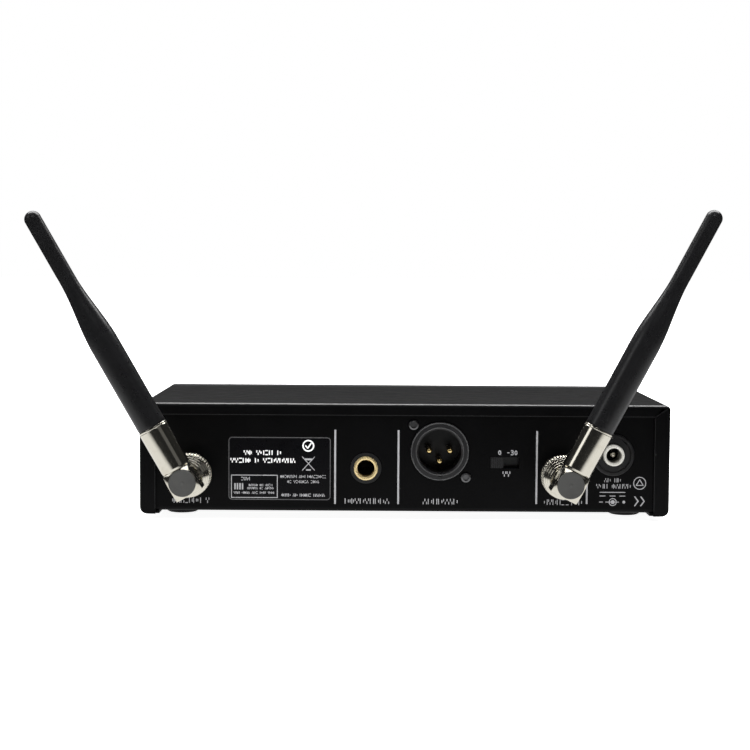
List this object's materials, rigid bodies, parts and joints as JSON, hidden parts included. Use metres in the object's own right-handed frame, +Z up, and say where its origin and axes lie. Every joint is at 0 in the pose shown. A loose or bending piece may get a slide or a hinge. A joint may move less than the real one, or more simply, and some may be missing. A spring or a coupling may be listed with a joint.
{
  "type": "wireless microphone receiver",
  "caption": "Half-rack wireless microphone receiver in a folded black steel case, with swivelling right-angle antennas on bayonet connectors and audio outputs on its rear panel.",
  "frame": {"origin": "on the surface that the feet stand on, under the middle of the whole receiver with its antennas at rest", "axes": "+Z up, -Y out of the connector panel, +Y out of the control fascia, +X towards the supply socket and antenna A"},
  "size_m": [0.249, 0.1461, 0.1165],
  "materials": {
    "case_paint": "satin black powder coat, fine grain",
    "chassis_paint": "satin black powder coat, fine grain",
    "foot_rubber": "matt black rubber",
    "black_screw": "black oxide",
    "label_film": "satin printed polyester film",
    "fascia_plastic": "fine texture moulding",
    "window_acrylic": "smoked acrylic",
    "display": "reflective liquid-crystal display",
    "circuit_board": "green solder mask",
    "component_plastic": "moulded epoxy",
    "light_pipe": "clear acrylic",
    "control_metal": "brushed",
    "brass_post": "bright turned brass",
    "steel_screw": "zinc plated",
    "can_steel": "tinned sheet",
    "capacitor_sleeve": "shrunk sleeve",
    "black_anodised": "black anodised",
    "header_nylon": "natural nylon",
    "cable_grey": "soft PVC",
    "lead_jacket": "soft PVC",
    "nickel": "satin nickel plate",
    "ptfe": "PTFE",
    "gold_contact": "gold plated",
    "socket_black": "glass-filled nylon",
    "shell_black": "black chromate die casting",
    "brass_ring": "polished brass",
    "spring_bronze": "phosphor bronze",
    "antenna_rubber": "satin moulded rubber",
    "radiator_wire": "enamelled copper wire",
    "cap_plastic": "satin grey cap",
    "key_plastic": "satin moulding",
    "knob_plastic": "soft-touch moulding",
    "slider_plastic": "moulded acetal"
  },
  "bodies": {
    "chassis": {"top_cover": "case_paint", "chassis_tray": "chassis_paint", "rubber_feet": "foot_rubber", "case_screws": "black_screw", "rating_label": "label_film", "front_fascia": "fascia_plastic", "display_window": "window_acrylic", "display_module": "display", "front_circuit_board": "circuit_board", "key_switches": "component_plastic", "indicator_light_pipes": "light_pipe", "volume_potentiometer": "control_metal", "main_circuit_board": "circuit_board", "board_standoffs": "brass_post", "board_screws": "steel_screw", "rf_shield_cans": "can_steel", "integrated_circuits": "component_plastic", "electrolytic_capacitors": "capacitor_sleeve", "voltage_regulator": "component_plastic", "regulator_heatsink": "black_anodised", "board_headers": "header_nylon", "ribbon_cable": "cable_grey", "internal_leads": "lead_jacket", "antenna_jack_a": "nickel", "antenna_jack_b": "nickel", "panel_nuts": "nickel", "jack_insulators": "ptfe", "jack_contacts": "gold_contact", "xlr_shell": "shell_black", "xlr_insert": "socket_black", "xlr_pins": "gold_contact", "xlr_screws": "black_screw", "phone_jack_body": "socket_black", "phone_jack_bushing": "brass_ring", "phone_jack_springs": "spring_bronze", "dc_socket_body": "socket_black", "dc_socket_bushing": "nickel", "dc_socket_pin": "nickel", "dc_socket_bezel": "socket_black", "pad_switch_housing": "socket_black"},
    "antenna_a": {"antenna_a_sheath": "antenna_rubber", "antenna_a_radiator": "radiator_wire", "antenna_a_sleeve": "nickel", "antenna_a_elbow": "nickel", "antenna_a_cap": "cap_plastic", "antenna_a_contact": "gold_contact"},
    "antenna_b": {"antenna_b_sheath": "antenna_rubber", "antenna_b_radiator": "radiator_wire", "antenna_b_sleeve": "nickel", "antenna_b_elbow": "nickel", "antenna_b_cap": "cap_plastic", "antenna_b_contact": "gold_contact"},
    "collar_a": {"antenna_a_collar": "nickel"},
    "collar_b": {"antenna_b_collar": "nickel"},
    "power_button": {"power_button": "key_plastic"},
    "channel_up_key": {"channel_up_key": "key_plastic"},
    "channel_down_key": {"channel_down_key": "key_plastic"},
    "volume_control": {"volume_knob": "knob_plastic", "volume_shaft": "control_metal"},
    "pad_switch": {"pad_switch_slider": "slider_plastic"}
  },
  "joints": [
    {"name": "antenna_a_swivel", "type": "hinge", "parent": "chassis", "child": "antenna_a", "pos_m": [0.07115, -0.06735, 0.0179], "axis": [0, 1, 0], "range_deg": [-57.75, 62.25]},
    {"name": "antenna_b_swivel", "type": "hinge", "parent": "chassis", "child": "antenna_b", "pos_m": [-0.06785, -0.06735, 0.0179], "axis": [0, 1, 0], "range_deg": [-60.25, 59.75]},
    {"name": "collar_a_turn", "type": "hinge", "parent": "chassis", "child": "collar_a", "pos_m": [0.07115, -0.05095, 0.0179], "axis": [0, -1, 0], "range_deg": [0, 90]},
    {"name": "collar_b_turn", "type": "hinge", "parent": "chassis", "child": "collar_b", "pos_m": [-0.06785, -0.05095, 0.0179], "axis": [0, -1, 0], "range_deg": [0, 90]},
    {"name": "power_button_press", "type": "slide", "parent": "chassis", "child": "power_button", "axis": [0, -1, 0], "range_m": [0, 0.001], "stiffness_N_per_m": 300, "springref_m": -0.0005},
    {"name": "channel_up_press", "type": "slide", "parent": "chassis", "child": "channel_up_key", "axis": [0, -1, 0], "range_m": [0, 0.0006], "stiffness_N_per_m": 300, "springref_m": -0.0003},
    {"name": "channel_down_press", "type": "slide", "parent": "chassis", "child": "channel_down_key", "axis": [0, -1, 0], "range_m": [0, 0.0006], "stiffness_N_per_m": 300, "springref_m": -0.0003},
    {"name": "volume_turn", "type": "hinge", "parent": "chassis", "child": "volume_control", "pos_m": [-0.05365, 0.06405, 0.023], "axis": [0, -1, 0], "range_deg": [-150, 150]},
    {"name": "pad_switch_slide", "type": "slide", "parent": "chassis", "child": "pad_switch", "axis": [1, 0, 0], "range_m": [0, 0.0059]}
  ]
}
